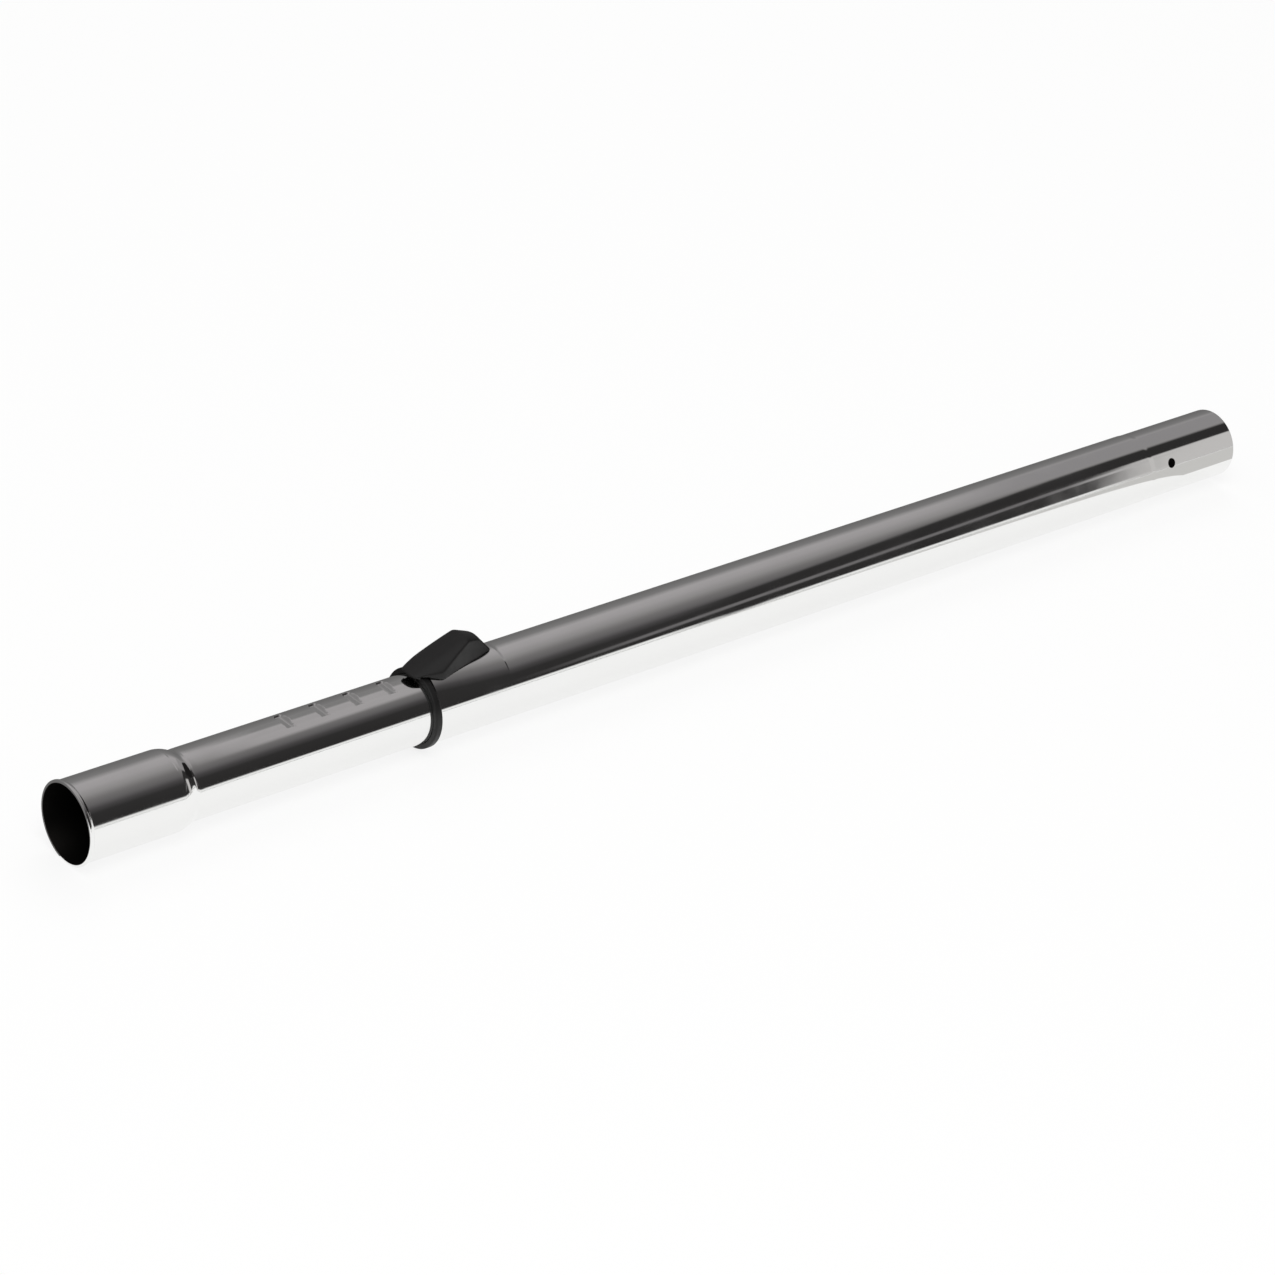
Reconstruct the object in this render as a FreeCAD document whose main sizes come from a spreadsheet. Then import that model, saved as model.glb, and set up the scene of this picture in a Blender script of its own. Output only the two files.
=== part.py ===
import FreeCAD, Part
import os
import Sketcher

# Telescopic vacuum wand. The origin is the middle of the handle socket's mouth, +X runs along the
# wand to the nozzle end and +Z is up, with the lock on top. Millimetres throughout.

SIZES = (
    # alias, value, what it is
    ("wand_length", 690.0, "mouth of the socket to the nozzle end, with the wand part drawn out"),
    ("tube_wall", 0.7, "sheet thickness of both steel tubes"),
    ("outer_tube_od", 35.0, "outer tube"),
    ("guide_wall", 0.69, "wall of the guide sleeve between the two tubes"),
    ("inner_tube_length", 594.0, "mouth of the socket to the inner tube's hidden end"),
    ("socket_step", 1.5, "bore that takes the hose handle, above the inner tube's radius"),
    ("socket_depth", 50.0, "straight length of that bore"),
    ("shoulder_length", 5.0, "cone from the socket down to the neck"),
    ("shoulder_round", 2.5, "rounding of the shoulder"),
    ("neck_depth", 0.15, "pressed neck behind the shoulder, below the tube's radius"),
    ("neck_length", 2.5, "run from the neck back to the tube's radius"),
    ("lip_rise", 0.7, "flared lip of the socket's mouth, above the socket"),
    ("lip_width", 1.5, "length of the lip"),
    ("lip_bevel", 0.5, "bevel of the lip"),
    ("flare_rise", 0.5, "flare that keeps the bush and the seal on, above the inner tube"),
    ("flare_width", 1.2, "length of the flare"),
    ("spigot_step", 0.2, "nozzle end, drawn down to slip into a nozzle, below the outer tube"),
    ("spigot_length", 58.0, "length of the drawn-down end"),
    ("spigot_taper", 2.0, "run from the tube's radius to the spigot's"),
    ("edge_break", 0.25, "bevel of the nozzle end's edge"),
    ("latch_hole", 5.0, "hole for the nozzle's latch"),
    ("latch_from_end", 45.6, "latch hole to the nozzle end"),
    ("latch_angle", 66.0, "latch hole's turn from the top, towards the near side, in degrees"),
    ("lock_x", 198.6, "locking bolt, from the mouth of the socket"),
    ("notch_pitch", 18.0, "step between two notches"),
    ("notch_count", 25.0, "notches in the row"),
    ("notches_ahead", 5.0, "notches between the bolt and the socket"),
    ("notch_depth", 1.6, "depth of a notch below the tube's top"),
    ("notch_width", 9.9, "length of a notch across the tube"),
    ("notch_floor", 2.4, "flat bottom of a notch along the tube"),
    ("notch_mouth", 5.2, "mouth of a notch along the tube"),
    ("ring_lead", 21.2, "bolt to the front of the end ring"),
    ("ring_width", 3.6, "end ring along the wand"),
    ("ring_rise", 1.0, "end ring above the outer tube"),
    ("ring_bevel", 0.8, "bevels of the end ring"),
    ("liner_length", 41.0, "guide sleeve behind the end ring"),
    ("bulge_inset", 2.5, "radius of the bulge over the lock, below the outer tube's"),
    ("bulge_rise", 2.2, "bulge above the outer tube, at the end ring"),
    ("bulge_end_rise", 0.5, "bulge above the outer tube, at its far end"),
    ("bulge_length", 42.0, "bulge along the wand"),
    ("bolt_thickness", 3.6, "locking bolt along the wand"),
    ("bolt_width", 6.4, "locking bolt across the wand"),
    ("bolt_rise", 5.5, "top of the bolt above the outer tube"),
    ("bolt_bite", 1.3, "how far the bolt reaches below the tube's top"),
    ("cam_pin_d", 2.6, "cross pin through the bolt"),
    ("cam_pin_length", 12.0, "length of the cross pin"),
    ("cam_pin_rise", 3.7, "cross pin above the outer tube"),
    ("button_stroke", 4.0, "travel of the slide button"),
    ("bolt_lift", 1.6, "lift of the bolt over that travel"),
    ("tower_wall", 1.0, "walls of the bolt's guide tower"),
    ("tower_tail", 2.4, "tower behind the bolt"),
    ("tower_rise", 5.9, "top of the tower above the outer tube"),
    ("saddle_reach", 14.0, "lock body's saddle, each way along the wand from the bolt"),
    ("saddle_half", 10.0, "half width of the saddle"),
    ("spring_od", 3.4, "return spring"),
    ("spring_wire", 0.4, "wire of the return spring"),
    ("spring_length", 8.6, "return spring at rest"),
    ("spring_turns", 3.0, "turns of the return spring"),
    ("spring_half_gap", 2.0, "half the distance between the two springs"),
    ("spring_rise", 4.2, "springs above the outer tube"),
    ("stud_d", 1.8, "stud that centres a spring"),
    ("stud_length", 1.6, "length of the stud"),
    ("hood_radius", 12.8, "roundness of the button's hood across the wand"),
    ("hood_front", 25.6, "bolt to the front edge of the hood"),
    ("hood_front_half", 4.8, "half width of the hood's front edge"),
    ("hood_front_rise", 1.1, "ridge of the hood above the end ring, at its front edge"),
    ("brow_lead", 12.2, "bolt to the widest place of the hood"),
    ("brow_half", 9.8, "half width there"),
    ("brow_round", 5.0, "rounding of the hood's front corners"),
    ("crest_back", 3.4, "bolt to the highest place of the hood"),
    ("crest_rise", 13.7, "ridge of the hood there, above the outer tube"),
    ("slope_back", 11.2, "bolt to where the hood begins to fall steeply"),
    ("slope_half", 4.6, "half width of the hood there"),
    ("slope_rise", 10.8, "ridge of the hood there, above the outer tube"),
    ("tail_back", 20.6, "bolt to the rear end of the hood"),
    ("tail_half", 1.9, "half width of the hood's rear end"),
    ("tail_rise", 0.6, "ridge of the hood there, above the outer tube"),
    ("tail_round", 1.6, "rounding of the hood's rear corners"),
    ("button_cover", 1.6, "button above the tower and above the springs"),
    ("cheek_rest", 0.3, "button's inner rear wall to the tower"),
    ("bush_length", 20.0, "stop bush on the inner tube"),
    ("nub_d", 4.0, "nubs that hold the bush in the inner tube"),
    ("nub_reach", 0.75, "nub below the inner tube's surface"),
    ("seal_width", 5.0, "felt seal ring"),
    ("slide_gap", 0.08, "radial play of the parts that slide along a tube"),
    ("seat_gap", 0.03, "radial play of parts that are fitted together"),
    ("guide_gap", 0.15, "play of the bolt and its pin in their guides"),
    ("cam_gap", 0.08, "play of the cross pin in the button's cam slots"),
    ("button_gap", 0.35, "play between the button and what it slides over"),
)

# Lengths that several pieces share, as expressions of the sheet's cells.
OUTER_R = "(sizes.outer_tube_od / 2)"
OUTER_BORE_R = f"({OUTER_R} - sizes.tube_wall)"
LINER_R = f"({OUTER_BORE_R} - sizes.seat_gap)"
GUIDE_R = f"({LINER_R} - sizes.guide_wall)"
INNER_R = f"({GUIDE_R} - sizes.slide_gap)"
INNER_BORE_R = f"({INNER_R} - sizes.tube_wall)"
SOCKET_R = f"({INNER_R} + sizes.socket_step)"
COLLAR_R = f"({SOCKET_R} + sizes.tube_wall)"
LIP_R = f"({COLLAR_R} + sizes.lip_rise)"
FLARE_R = f"({INNER_R} + sizes.flare_rise)"
SPIGOT_R = f"({OUTER_R} - sizes.spigot_step)"
RING_R = f"({OUTER_R} + sizes.ring_rise)"
BULGE_R = f"({OUTER_R} - sizes.bulge_inset)"
BOLT_TOP = f"({OUTER_R} + sizes.bolt_rise)"
PIN_Z = f"({OUTER_R} + sizes.cam_pin_rise)"
TOWER_TOP = f"({OUTER_R} + sizes.tower_rise)"
SPRING_Z = f"({OUTER_R} + sizes.spring_rise)"
RING_FRONT = "(sizes.lock_x - sizes.ring_lead)"
TUBE_FRONT = "(sizes.lock_x - sizes.ring_lead + sizes.ring_width)"
NOSE_R = "(sizes.bolt_thickness / 2)"
NOSE_Z = f"({INNER_R} - sizes.bolt_bite + {NOSE_R})"
PIN_R = "(sizes.cam_pin_d / 2)"
BOLT_HALF = "(sizes.bolt_width / 2)"
CHANNEL_HALF = f"({BOLT_HALF} + sizes.guide_gap)"
TOWER_HALF = f"({CHANNEL_HALF} + sizes.tower_wall)"
TOWER_FRONT = f"(sizes.lock_x - {NOSE_R} - sizes.guide_gap - sizes.tower_wall)"
TOWER_BACK = f"(sizes.lock_x + {NOSE_R} + sizes.guide_gap + sizes.tower_tail)"
BAY_HALF = f"({TOWER_HALF} + sizes.button_gap)"
SPRING_FRONT = f"({TOWER_FRONT} - sizes.spring_length)"
BUSH_FRONT = (
    "(sizes.inner_tube_length - sizes.flare_width - sizes.seal_width - sizes.bush_length)"
)
SEAL_FRONT = "(sizes.inner_tube_length - sizes.flare_width - sizes.seal_width)"
BULGE_SLOPE = "((sizes.bulge_rise - sizes.bulge_end_rise) / sizes.bulge_length)"
NOTCH_START = "(sizes.lock_x - sizes.notches_ahead * sizes.notch_pitch)"
NOTCH_SLOPE = "((sizes.notch_mouth - sizes.notch_floor) / 2 / sizes.notch_depth)"
HOOD_FRONT = "(sizes.lock_x - sizes.hood_front)"
HOOD_FRONT_TOP = f"({RING_R} + sizes.hood_front_rise)"
HOOD_CREST = "(sizes.lock_x + sizes.crest_back)"
HOOD_CREST_TOP = f"({OUTER_R} + sizes.crest_rise)"
HOOD_SLOPE = "(sizes.lock_x + sizes.slope_back)"
HOOD_SLOPE_TOP = f"({OUTER_R} + sizes.slope_rise)"
HOOD_TAIL = "(sizes.lock_x + sizes.tail_back)"
HOOD_TAIL_TOP = f"({OUTER_R} + sizes.tail_rise)"
OVERRUN = "2"

# A point closer to an edge than this lies on it.
ON_EDGE = 0.01

ALONG_X = FreeCAD.Rotation(FreeCAD.Vector(0, 1, 0), 90)
ALONG_Y = FreeCAD.Rotation(FreeCAD.Vector(1, 0, 0), 90)

doc = FreeCAD.newDocument("telescopic_wand")


def add_sheet():
    """The driving sizes, one cell each."""
    sheet = doc.addObject("Spreadsheet::Sheet", "sizes")
    for row, (alias, value, note) in enumerate(SIZES, start=1):
        sheet.set(f"A{row}", note)
        sheet.set(f"B{row}", str(value))
        sheet.setAlias(f"B{row}", alias)
    doc.recompute()
    return sheet


sizes = add_sheet()


def value(expression):
    """An expression of the sheet as a plain number, for a first guess or a choice of edges."""
    result = sizes.evalExpression(expression.replace("sizes.", ""))
    return float(getattr(result, "Value", result))


def bind(item, **expressions):
    """Tie properties to expressions; a double underscore stands for a dot."""
    for name, expression in expressions.items():
        item.setExpression(name.replace("__", "."), expression)


def bar_x(name, radius, start, length):
    """Round bar on the wand's axis."""
    bar = doc.addObject("Part::Cylinder", name)
    bar.Placement = FreeCAD.Placement(FreeCAD.Vector(), ALONG_X)
    bind(bar, Radius=radius, Height=length, Placement__Base__x=start)
    return bar


def bar_y(name, radius, half, x, z):
    """Round bar across the wand, as far to both sides."""
    bar = doc.addObject("Part::Cylinder", name)
    bar.Placement = FreeCAD.Placement(FreeCAD.Vector(), ALONG_Y)
    bind(bar, Radius=radius, Height=f"2 * ({half})", Placement__Base__x=x)
    bind(bar, Placement__Base__y=half, Placement__Base__z=z)
    return bar


def bulge_bar(name, radius, start, length):
    """Round bar along the bulge, which falls away towards the nozzle end."""
    bar = doc.addObject("Part::Cylinder", name)
    bar.Placement = FreeCAD.Placement(FreeCAD.Vector(), ALONG_X)
    bind(bar, Radius=radius, Height=length, Placement__Base__x=start)
    height = f"{OUTER_R} + sizes.bulge_rise - {BULGE_R}"
    bind(bar, Placement__Base__z=f"{height} + ({TUBE_FRONT} - {start}) * {BULGE_SLOPE}")
    bind(bar, Placement__Rotation__Angle=f"90 deg + atan({BULGE_SLOPE})")
    return bar


def block(name, start, end, half, bottom, top):
    """Box that is as wide to both sides of the wand."""
    box = doc.addObject("Part::Box", name)
    bind(box, Length=f"({end}) - ({start})", Width=f"2 * ({half})", Height=f"({top}) - ({bottom})")
    bind(box, Placement__Base__x=start, Placement__Base__y=f"-({half})", Placement__Base__z=bottom)
    return box


def joined(name, *pieces):
    fuse = doc.addObject("Part::MultiFuse", name)
    fuse.Shapes = list(pieces)
    return fuse


def shared(name, *pieces):
    common = doc.addObject("Part::MultiCommon", name)
    common.Shapes = list(pieces)
    return common


def cut(name, base, tool):
    result = doc.addObject("Part::Cut", name)
    result.Base = base
    result.Tool = tool
    return result


def new_sketch(body, name, role):
    sketch = body.newObject("Sketcher::SketchObject", name)
    plane = next(f for f in body.Origin.OriginFeatures if f.Role == role)
    sketch.AttachmentSupport = [(plane, "")]
    sketch.MapMode = "FlatFace"
    return sketch


def pin_point(sketch, geometry, point, x, y):
    """Hold a sketch point at a place given by two expressions."""
    for kind, expression, axis in (("DistanceX", x, -2), ("DistanceY", y, -1)):
        if expression == "0":
            sketch.addConstraint(Sketcher.Constraint("PointOnObject", geometry, point, axis))
            continue
        guess = value(expression)
        index = sketch.addConstraint(Sketcher.Constraint(kind, -1, 1, geometry, point, guess))
        sketch.setExpression(f"Constraints[{index}]", expression)


def outline(body, name, role, corners):
    """Closed outline of straight sides, each corner given by two expressions."""
    sketch = new_sketch(body, name, role)
    places = [FreeCAD.Vector(value(x), value(y), 0) for x, y in corners]
    count = len(places)
    for i in range(count):
        sketch.addGeometry(Part.LineSegment(places[i], places[(i + 1) % count]), False)
    for i in range(count):
        sketch.addConstraint(Sketcher.Constraint("Coincident", i, 2, (i + 1) % count, 1))
    for i, (x, y) in enumerate(corners):
        pin_point(sketch, i, 1, x, y)
    return sketch


def turned(name, corners):
    """Body turned about the wand's axis from a half outline of (x, radius) corners."""
    body = doc.addObject("PartDesign::Body", name)
    sketch = outline(body, f"{name}_outline", "XZ_Plane", corners)
    spin = body.newObject("PartDesign::Revolution", f"{name}_turned")
    spin.Profile = sketch
    spin.ReferenceAxis = (sketch, ["H_Axis"])
    spin.Angle = 360
    body.Tip = spin
    doc.recompute()
    return body


def rounded(body, name, radius, places):
    """Round the edges of a body that run through the given places."""
    base = body.Tip
    names = []
    for index, edge in enumerate(base.Shape.Edges, start=1):
        for x, y, z in places:
            spot = Part.Vertex(value(x), value(y), value(z))
            if edge.distToShape(spot)[0] < ON_EDGE:
                names.append(f"Edge{index}")
    fillet = body.newObject("PartDesign::Fillet", name)
    fillet.Base = (base, names)
    bind(fillet, Radius=radius)
    body.Tip = fillet
    doc.recompute()


def notch_row(name, margin):
    """Row of tapered bars across the inner tube, one at each notch and larger by the margin."""
    body = doc.addObject("PartDesign::Body", name)
    floor = f"{INNER_R} - sizes.notch_depth - {margin}"
    brim = f"{INNER_R} + {OVERRUN}"
    spread = f"sizes.notch_floor / 2 + {margin} * sqrt(1 + {NOTCH_SLOPE} ^ 2)"
    low = f"({spread} - {margin} * {NOTCH_SLOPE})"
    high = f"({spread} + (sizes.notch_depth + {OVERRUN}) * {NOTCH_SLOPE})"
    sketch = outline(body, f"{name}_outline", "XZ_Plane", (
        (f"{NOTCH_START} - {low}", floor),
        (f"{NOTCH_START} + {low}", floor),
        (f"{NOTCH_START} + {high}", brim),
        (f"{NOTCH_START} - {high}", brim),
    ))
    pad = body.newObject("PartDesign::Pad", f"{name}_bar")
    pad.Profile = sketch
    pad.Midplane = True
    bind(pad, Length=f"sizes.notch_width + 2 * {margin}")
    doc.recompute()
    row = body.newObject("PartDesign::LinearPattern", f"{name}_repeat")
    row.Originals = [pad]
    row.Direction = (sketch, ["H_Axis"])
    bind(row, Length="sizes.notch_pitch * (sizes.notch_count - 1)", Occurrences="sizes.notch_count")
    body.Tip = row
    return body


def make_inner_tube():
    """Chromed inner tube: swaged handle socket, pressed row of notches, flared hidden end."""
    shoulder_end = "(sizes.socket_depth + sizes.shoulder_length)"
    neck_end = "(sizes.socket_depth + sizes.shoulder_length + sizes.neck_length)"
    flare_start = "(sizes.inner_tube_length - sizes.flare_width)"
    blank = turned("inner_tube_blank", (
        ("0", SOCKET_R),
        ("0", f"{LIP_R} - sizes.lip_bevel"),
        ("sizes.lip_bevel", LIP_R),
        ("sizes.lip_width", LIP_R),
        (f"sizes.lip_width + {LIP_R} - {COLLAR_R}", COLLAR_R),
        ("sizes.socket_depth", COLLAR_R),
        (shoulder_end, f"{INNER_R} - sizes.neck_depth"),
        (neck_end, INNER_R),
        (flare_start, INNER_R),
        (flare_start, FLARE_R),
        ("sizes.inner_tube_length", FLARE_R),
        ("sizes.inner_tube_length", INNER_BORE_R),
        (neck_end, INNER_BORE_R),
        (shoulder_end, f"{INNER_BORE_R} - sizes.neck_depth"),
        ("sizes.socket_depth", SOCKET_R),
    ))
    rounded(blank, "shoulder_rounding", "sizes.shoulder_round", (("sizes.socket_depth", COLLAR_R, "0"),))
    backs = notch_row("notch_backs", "sizes.tube_wall")
    plug = bar_x("bore_plug", f"{INNER_BORE_R} + sizes.tube_wall / 2", shoulder_end,
                 f"sizes.inner_tube_length - {shoulder_end}")
    pressed = joined("pressed_tube", blank, shared("notch_backing", backs, plug))
    hollows = notch_row("notch_hollows", "0")
    holes = bar_y("nub_holes", "sizes.nub_d / 2 + sizes.seat_gap", INNER_R,
                  f"{BUSH_FRONT} + sizes.bush_length / 2", "0")
    return cut("inner_tube", pressed, joined("tube_cuts", hollows, holes))


def make_outer_tube():
    """Chromed outer tube: lock window in a pressed bulge, drawn-down nozzle end with a latch hole."""
    spigot_start = "(sizes.wand_length - sizes.spigot_length)"
    blank = turned("outer_tube_blank", (
        (TUBE_FRONT, OUTER_BORE_R),
        (TUBE_FRONT, OUTER_R),
        (f"{spigot_start} - sizes.spigot_taper", OUTER_R),
        (spigot_start, SPIGOT_R),
        ("sizes.wand_length - sizes.edge_break", SPIGOT_R),
        ("sizes.wand_length", f"{SPIGOT_R} - sizes.edge_break"),
        ("sizes.wand_length", OUTER_BORE_R),
    ))
    bulge = bulge_bar("bulge_skin", BULGE_R, f"({TUBE_FRONT} - {OVERRUN})",
                      f"sizes.bulge_length + 2 * {OVERRUN}")
    span = block("bulge_span", TUBE_FRONT, f"{TUBE_FRONT} + sizes.bulge_length", OUTER_R, "0",
                 f"{OUTER_R} + sizes.bulge_rise + {OVERRUN}")
    skin = joined("tube_with_bulge", blank, shared("bulge", bulge, span))
    bore = bar_x("outer_bore", OUTER_BORE_R, TUBE_FRONT, f"sizes.wand_length - {TUBE_FRONT}")
    chamber = bulge_bar("bulge_chamber", f"{BULGE_R} - sizes.tube_wall",
                        f"({TUBE_FRONT} - {OVERRUN})",
                        f"sizes.bulge_length - sizes.tube_wall + {OVERRUN}")
    window = block("lock_window", f"{TOWER_FRONT} - sizes.guide_gap", f"{TOWER_BACK} + sizes.guide_gap",
                   f"{TOWER_HALF} + sizes.guide_gap", "0", TOWER_TOP)
    hole = doc.addObject("Part::Cylinder", "latch_hole")
    hole.Placement = FreeCAD.Placement(FreeCAD.Vector(), FreeCAD.Rotation(FreeCAD.Vector(1, 0, 0), 1))
    bind(hole, Radius="sizes.latch_hole / 2", Height=f"{OUTER_R} + {OVERRUN}")
    bind(hole, Placement__Base__x="sizes.wand_length - sizes.latch_from_end")
    bind(hole, Placement__Rotation__Angle="sizes.latch_angle * 1 deg")
    return cut("outer_tube", skin, joined("outer_cuts", bore, chamber, window, hole))


def make_guide_sleeve():
    """Moulded sleeve that closes the outer tube's end with a ring and guides the inner tube."""
    body = turned("guide_sleeve", (
        (RING_FRONT, GUIDE_R),
        (RING_FRONT, f"{RING_R} - sizes.ring_bevel"),
        (f"{RING_FRONT} + sizes.ring_bevel", RING_R),
        (f"{TUBE_FRONT} - sizes.ring_bevel", RING_R),
        (TUBE_FRONT, f"{RING_R} - sizes.ring_bevel"),
        (TUBE_FRONT, LINER_R),
        (f"{TUBE_FRONT} + sizes.liner_length", LINER_R),
        (f"{TUBE_FRONT} + sizes.liner_length", GUIDE_R),
    ))
    back = f"sizes.lock_x + {NOSE_R} + sizes.button_gap"
    front = f"sizes.lock_x - {NOSE_R} - sizes.button_gap"
    half = f"{BOLT_HALF} + sizes.button_gap"
    window = outline(body, "nose_window_outline", "XY_Plane", (
        (front, f"-({half})"),
        (back, f"-({half})"),
        (back, half),
        (front, half),
    ))
    whole = body.Shape.Volume
    pocket = body.newObject("PartDesign::Pocket", "nose_window")
    pocket.Profile = window
    pocket.Type = "ThroughAll"
    pocket.Reversed = True
    body.Tip = pocket
    doc.recompute()
    if not pocket.Shape.Volume < whole:
        raise RuntimeError("the nose window cuts nothing out of the guide sleeve")
    return body


def make_lock_body():
    """Lock body: a saddle between sleeve and bulge, and the tower that guides the bolt."""
    saddle_bar = bulge_bar("saddle_bar", f"{BULGE_R} - sizes.tube_wall - sizes.seat_gap",
                           f"({TUBE_FRONT} - {OVERRUN})", f"sizes.bulge_length - sizes.tube_wall")
    reach = block("saddle_span", "sizes.lock_x - sizes.saddle_reach", "sizes.lock_x + sizes.saddle_reach",
                  "sizes.saddle_half", "0", TOWER_TOP)
    tower = block("tower", TOWER_FRONT, TOWER_BACK, TOWER_HALF, "0", TOWER_TOP)
    solid = [shared("saddle", saddle_bar, reach), tower]
    for side, sign in (("left", ""), ("right", "-")):
        stud = bar_x(f"spring_stud_{side}", "sizes.stud_d / 2", f"{TOWER_FRONT} - sizes.stud_length",
                     "sizes.stud_length + sizes.tower_wall / 2")
        bind(stud, Placement__Base__y=f"{sign}sizes.spring_half_gap", Placement__Base__z=SPRING_Z)
        solid.append(stud)
    sleeve_room = bar_x("sleeve_room", f"{LINER_R} + sizes.seat_gap", "sizes.lock_x - 2 * sizes.saddle_reach",
                        "4 * sizes.saddle_reach")
    channel = block("bolt_channel", f"sizes.lock_x - {NOSE_R} - sizes.guide_gap",
                    f"sizes.lock_x + {NOSE_R} + sizes.guide_gap", CHANNEL_HALF, "0",
                    f"{TOWER_TOP} + {OVERRUN}")
    pin_slot = block("pin_slot", f"sizes.lock_x - {PIN_R} - sizes.guide_gap",
                     f"sizes.lock_x + {PIN_R} + sizes.guide_gap", f"{TOWER_HALF} + {OVERRUN}",
                     f"{PIN_Z} - {PIN_R} - sizes.guide_gap", f"{TOWER_TOP} + {OVERRUN}")
    return cut("lock_body", joined("lock_solid", *solid), joined("lock_cuts", sleeve_room, channel, pin_slot))


def make_locking_bolt():
    """Steel bolt whose round nose drops into a notch of the inner tube."""
    plate = block("bolt_plate", f"sizes.lock_x - {NOSE_R}", f"sizes.lock_x + {NOSE_R}", BOLT_HALF,
                  NOSE_Z, BOLT_TOP)
    nose = bar_y("bolt_nose", NOSE_R, BOLT_HALF, "sizes.lock_x", NOSE_Z)
    hole = bar_y("bolt_hole", PIN_R, BOLT_HALF, "sizes.lock_x", PIN_Z)
    return cut("locking_bolt", joined("bolt_solid", plate, nose), hole)


def make_cam_pin():
    """Cross pin, pressed into the bolt, that runs in the button's cam slots."""
    return bar_y("cam_pin", PIN_R, "sizes.cam_pin_length / 2", "sizes.lock_x", PIN_Z)


def make_return_springs():
    """Two compression springs between the button and the tower."""
    springs = []
    outside = "sizes.spring_od / 2"
    inside = f"{outside} - sizes.spring_wire"
    for side, sign in (("left", ""), ("right", "-")):
        body = doc.addObject("PartDesign::Body", f"return_spring_{side}")
        wire = outline(body, f"wire_{side}", "XY_Plane", (
            ("0", inside),
            ("sizes.spring_wire", inside),
            ("sizes.spring_wire", outside),
            ("0", outside),
        ))
        coil = body.newObject("PartDesign::AdditiveHelix", f"coil_{side}")
        coil.Profile = wire
        coil.ReferenceAxis = (wire, ["H_Axis"])
        coil.Mode = "pitch-height-angle"
        run = "(sizes.spring_length - sizes.spring_wire)"
        bind(coil, Height=run, Pitch=f"{run} / sizes.spring_turns")
        body.Tip = coil
        bind(body, Placement__Base__x=SPRING_FRONT, Placement__Base__z=SPRING_Z)
        bind(body, Placement__Base__y=f"{sign}sizes.spring_half_gap")
        springs.append(body)
    return springs


def make_cam_slots():
    """Slanted slots in the button's cheeks that lift the cross pin as the button slides back."""
    half = "(sizes.cam_pin_length / 2 + sizes.guide_gap)"
    slot_r = f"({PIN_R} + sizes.cam_gap)"
    high_x = "(sizes.lock_x - sizes.button_stroke)"
    high_z = f"({PIN_Z} + sizes.bolt_lift)"
    slope = "atan(sizes.bolt_lift / sizes.button_stroke)"
    ends = [
        bar_y("cam_low_end", slot_r, half, "sizes.lock_x", PIN_Z),
        bar_y("cam_high_end", slot_r, half, high_x, high_z),
    ]
    run = doc.addObject("Part::Box", "cam_run")
    run.Placement = FreeCAD.Placement(FreeCAD.Vector(), FreeCAD.Rotation(FreeCAD.Vector(0, 1, 0), 1))
    bind(run, Length="sqrt(sizes.button_stroke ^ 2 + sizes.bolt_lift ^ 2)", Width=f"2 * {half}")
    bind(run, Height=f"2 * {slot_r}", Placement__Base__y=f"-{half}")
    bind(run, Placement__Base__x=f"{high_x} - {slot_r} * sin({slope})")
    bind(run, Placement__Base__z=f"{high_z} - {slot_r} * cos({slope})")
    bind(run, Placement__Rotation__Angle=slope)
    return [*ends, run]


def ridge_bar(name, start, start_top, end, end_top):
    """Bar with a round crown whose upper line runs through two points of the hood's ridge."""
    climb = f"atan(({end_top} - {start_top}) / ({end} - {start}))"
    reach = f"2 * ({HOOD_TAIL} - {HOOD_FRONT})"
    base_x = f"{start} + sizes.hood_radius * sin({climb}) - {reach} * cos({climb})"
    base_z = f"{start_top} - sizes.hood_radius * cos({climb}) - {reach} * sin({climb})"
    crown = doc.addObject("Part::Cylinder", f"{name}_crown")
    bind(crown, Radius="sizes.hood_radius", Height=f"2 * {reach}")
    core = doc.addObject("Part::Box", f"{name}_core")
    bind(core, Length=f"2 * {HOOD_CREST_TOP}", Width="2 * sizes.hood_radius", Height=f"2 * {reach}")
    for half in (crown, core):
        half.Placement = FreeCAD.Placement(FreeCAD.Vector(), ALONG_X)
        bind(half, Placement__Rotation__Angle=f"90 deg - {climb}")
        bind(half, Placement__Base__x=base_x, Placement__Base__z=base_z)
    bind(core, Placement__Base__y="-sizes.hood_radius")
    return joined(name, crown, core)


def make_hood_plan():
    """Leaf-shaped block that gives the hood its outline from above."""
    body = doc.addObject("PartDesign::Body", "hood_plan")
    brow = "(sizes.lock_x - sizes.brow_lead)"
    near_side = (
        (HOOD_FRONT, "sizes.hood_front_half"),
        (brow, "sizes.brow_half"),
        (HOOD_SLOPE, "sizes.slope_half"),
        (HOOD_TAIL, "sizes.tail_half"),
    )
    far_side = [(x, f"-{y}") for x, y in reversed(near_side)]
    corners = [*near_side, *far_side]
    sketch = outline(body, "hood_outline", "XY_Plane", corners)
    pad = body.newObject("PartDesign::Pad", "hood_block")
    pad.Profile = sketch
    bind(pad, Length=f"{HOOD_CREST_TOP} + {OVERRUN}")
    body.Tip = pad
    doc.recompute()
    front_corners = [(x, y, f"{HOOD_CREST_TOP} / 2") for x, y in corners if x in (HOOD_FRONT, brow)]
    tail_corners = [(x, y, f"{HOOD_CREST_TOP} / 2") for x, y in corners if x == HOOD_TAIL]
    rounded(body, "front_rounding", "sizes.brow_round", front_corners)
    rounded(body, "tail_rounding", "sizes.tail_round", tail_corners)
    return body


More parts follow.
